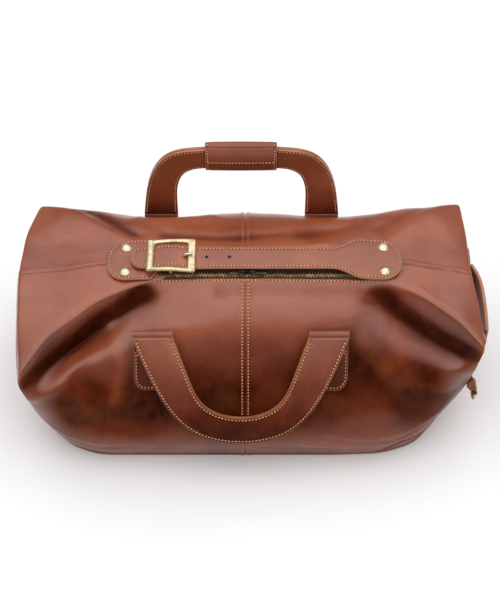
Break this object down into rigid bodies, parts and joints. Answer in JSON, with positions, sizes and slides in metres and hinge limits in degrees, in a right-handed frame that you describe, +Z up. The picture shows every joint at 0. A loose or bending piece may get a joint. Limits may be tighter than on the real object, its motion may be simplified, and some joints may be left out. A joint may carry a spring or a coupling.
{
  "type": "duffel bag",
  "caption": "Leather duffel bag with folded-in ends, a top zip under a buckled closure strap, carry handles with a wrapped grip and an end grab handle.",
  "frame": {"origin": "centre of the base, on the surface the bag stands on", "axes": "+Z up, front towards -Y, end grab handle towards +X"},
  "size_m": [0.5372, 0.2768, 0.278],
  "materials": {
    "body_leather": "polished chestnut leather",
    "strap_leather": "polished chestnut leather with stitched edges",
    "lining_cloth": "brown cotton",
    "board": "stiff board",
    "zip_tape": "dark brown woven tape",
    "zip_brass": "antique",
    "antique_brass": "antique, satin"
  },
  "bodies": {
    "root": {"front_panel_left": "body_leather", "front_panel_right": "body_leather", "back_panel_left": "body_leather", "back_panel_right": "body_leather", "left_gusset_front": "body_leather", "left_gusset_back": "body_leather", "right_gusset_front": "body_leather", "right_gusset_back": "body_leather", "base_panel": "body_leather", "base_board": "board", "lining_front": "lining_cloth", "lining_back": "lining_cloth", "lining_left_end": "lining_cloth", "lining_right_end": "lining_cloth", "lining_base": "lining_cloth", "zip_tape_front": "zip_tape", "zip_tape_back": "zip_tape", "zip_teeth_front": "zip_brass", "zip_teeth_back": "zip_brass", "zip_stops": "zip_brass", "left_tab": "strap_leather", "buckle_chape": "strap_leather", "buckle_frame": "antique_brass", "buckle_bar": "antique_brass", "closure_strap": "strap_leather", "left_tab_rivets": "antique_brass", "right_tab_rivets": "antique_brass", "front_handle_patch_left": "strap_leather", "front_handle_patch_right": "strap_leather", "rear_handle_patch_left": "strap_leather", "rear_handle_patch_right": "strap_leather", "end_handle_anchor_front": "strap_leather", "end_handle_anchor_back": "strap_leather", "ring_tab_left": "strap_leather", "ring_tab_right": "strap_leather"},
    "front_handle": {"front_handle_outer_ply": "strap_leather", "front_handle_inner_ply": "strap_leather"},
    "rear_handle": {"rear_handle_outer_ply": "strap_leather", "rear_handle_inner_ply": "strap_leather", "handle_wrap": "strap_leather", "wrap_snaps": "antique_brass"},
    "grip_flap": {"wrap_flap": "strap_leather"},
    "end_handle": {"end_handle": "strap_leather"},
    "zip_slider_left": {"zip_slider_left": "zip_brass"},
    "zip_slider_right": {"zip_slider_right": "zip_brass"},
    "zip_pull_left": {"zip_pull_left": "zip_brass"},
    "zip_pull_right": {"zip_pull_right": "zip_brass"},
    "buckle_prong": {"buckle_prong": "antique_brass"},
    "ring_left": {"d_ring_left": "antique_brass"},
    "ring_right": {"d_ring_right": "antique_brass"}
  },
  "joints": [
    {"name": "front_handle_fold", "type": "hinge", "parent": "root", "child": "front_handle", "pos_m": [-0.005, -0.075, 0.176], "axis": [-1, 0, 0], "range_deg": [0, 150]},
    {"name": "rear_handle_fold", "type": "hinge", "parent": "root", "child": "rear_handle", "pos_m": [-0.005, 0.113, 0.16], "axis": [-1, 0, 0], "range_deg": [-20, 140]},
    {"name": "wrap_flap_hinge", "type": "hinge", "parent": "rear_handle", "child": "grip_flap", "pos_m": [-0.005, 0.1054, 0.275], "axis": [-1, 0, 0], "range_deg": [0, 110]},
    {"name": "end_handle_tilt", "type": "hinge", "parent": "root", "child": "end_handle", "pos_m": [0.264, -0.014, 0.15], "axis": [0, 1, 0], "range_deg": [-10, 10]},
    {"name": "zip_slider_left_travel", "type": "slide", "parent": "root", "child": "zip_slider_left", "axis": [-1, 0, 0], "range_m": [0, 0.05]},
    {"name": "zip_slider_right_travel", "type": "slide", "parent": "root", "child": "zip_slider_right", "axis": [1, 0, 0], "range_m": [0, 0.094]},
    {"name": "zip_pull_left_swing", "type": "hinge", "parent": "zip_slider_left", "child": "zip_pull_left", "pos_m": [-0.0026, -0.0132, 0.2071], "axis": [0, 1, 0], "range_deg": [0, 145]},
    {"name": "zip_pull_right_swing", "type": "hinge", "parent": "zip_slider_right", "child": "zip_pull_right", "pos_m": [0.0074, -0.0132, 0.2071], "axis": [0, -1, 0], "range_deg": [0, 145]},
    {"name": "buckle_prong_lift", "type": "hinge", "parent": "root", "child": "buckle_prong", "pos_m": [-0.0815, 0.006, 0.2096], "axis": [0, -1, 0], "range_deg": [0, 20]},
    {"name": "ring_left_swing", "type": "hinge", "parent": "root", "child": "ring_left", "pos_m": [-0.2567, 0.066, 0.062], "axis": [0, 1, 0], "range_deg": [0, 100]},
    {"name": "ring_right_swing", "type": "hinge", "parent": "root", "child": "ring_right", "pos_m": [0.2613, -0.066, 0.062], "axis": [0, -1, 0], "range_deg": [0, 100]}
  ]
}
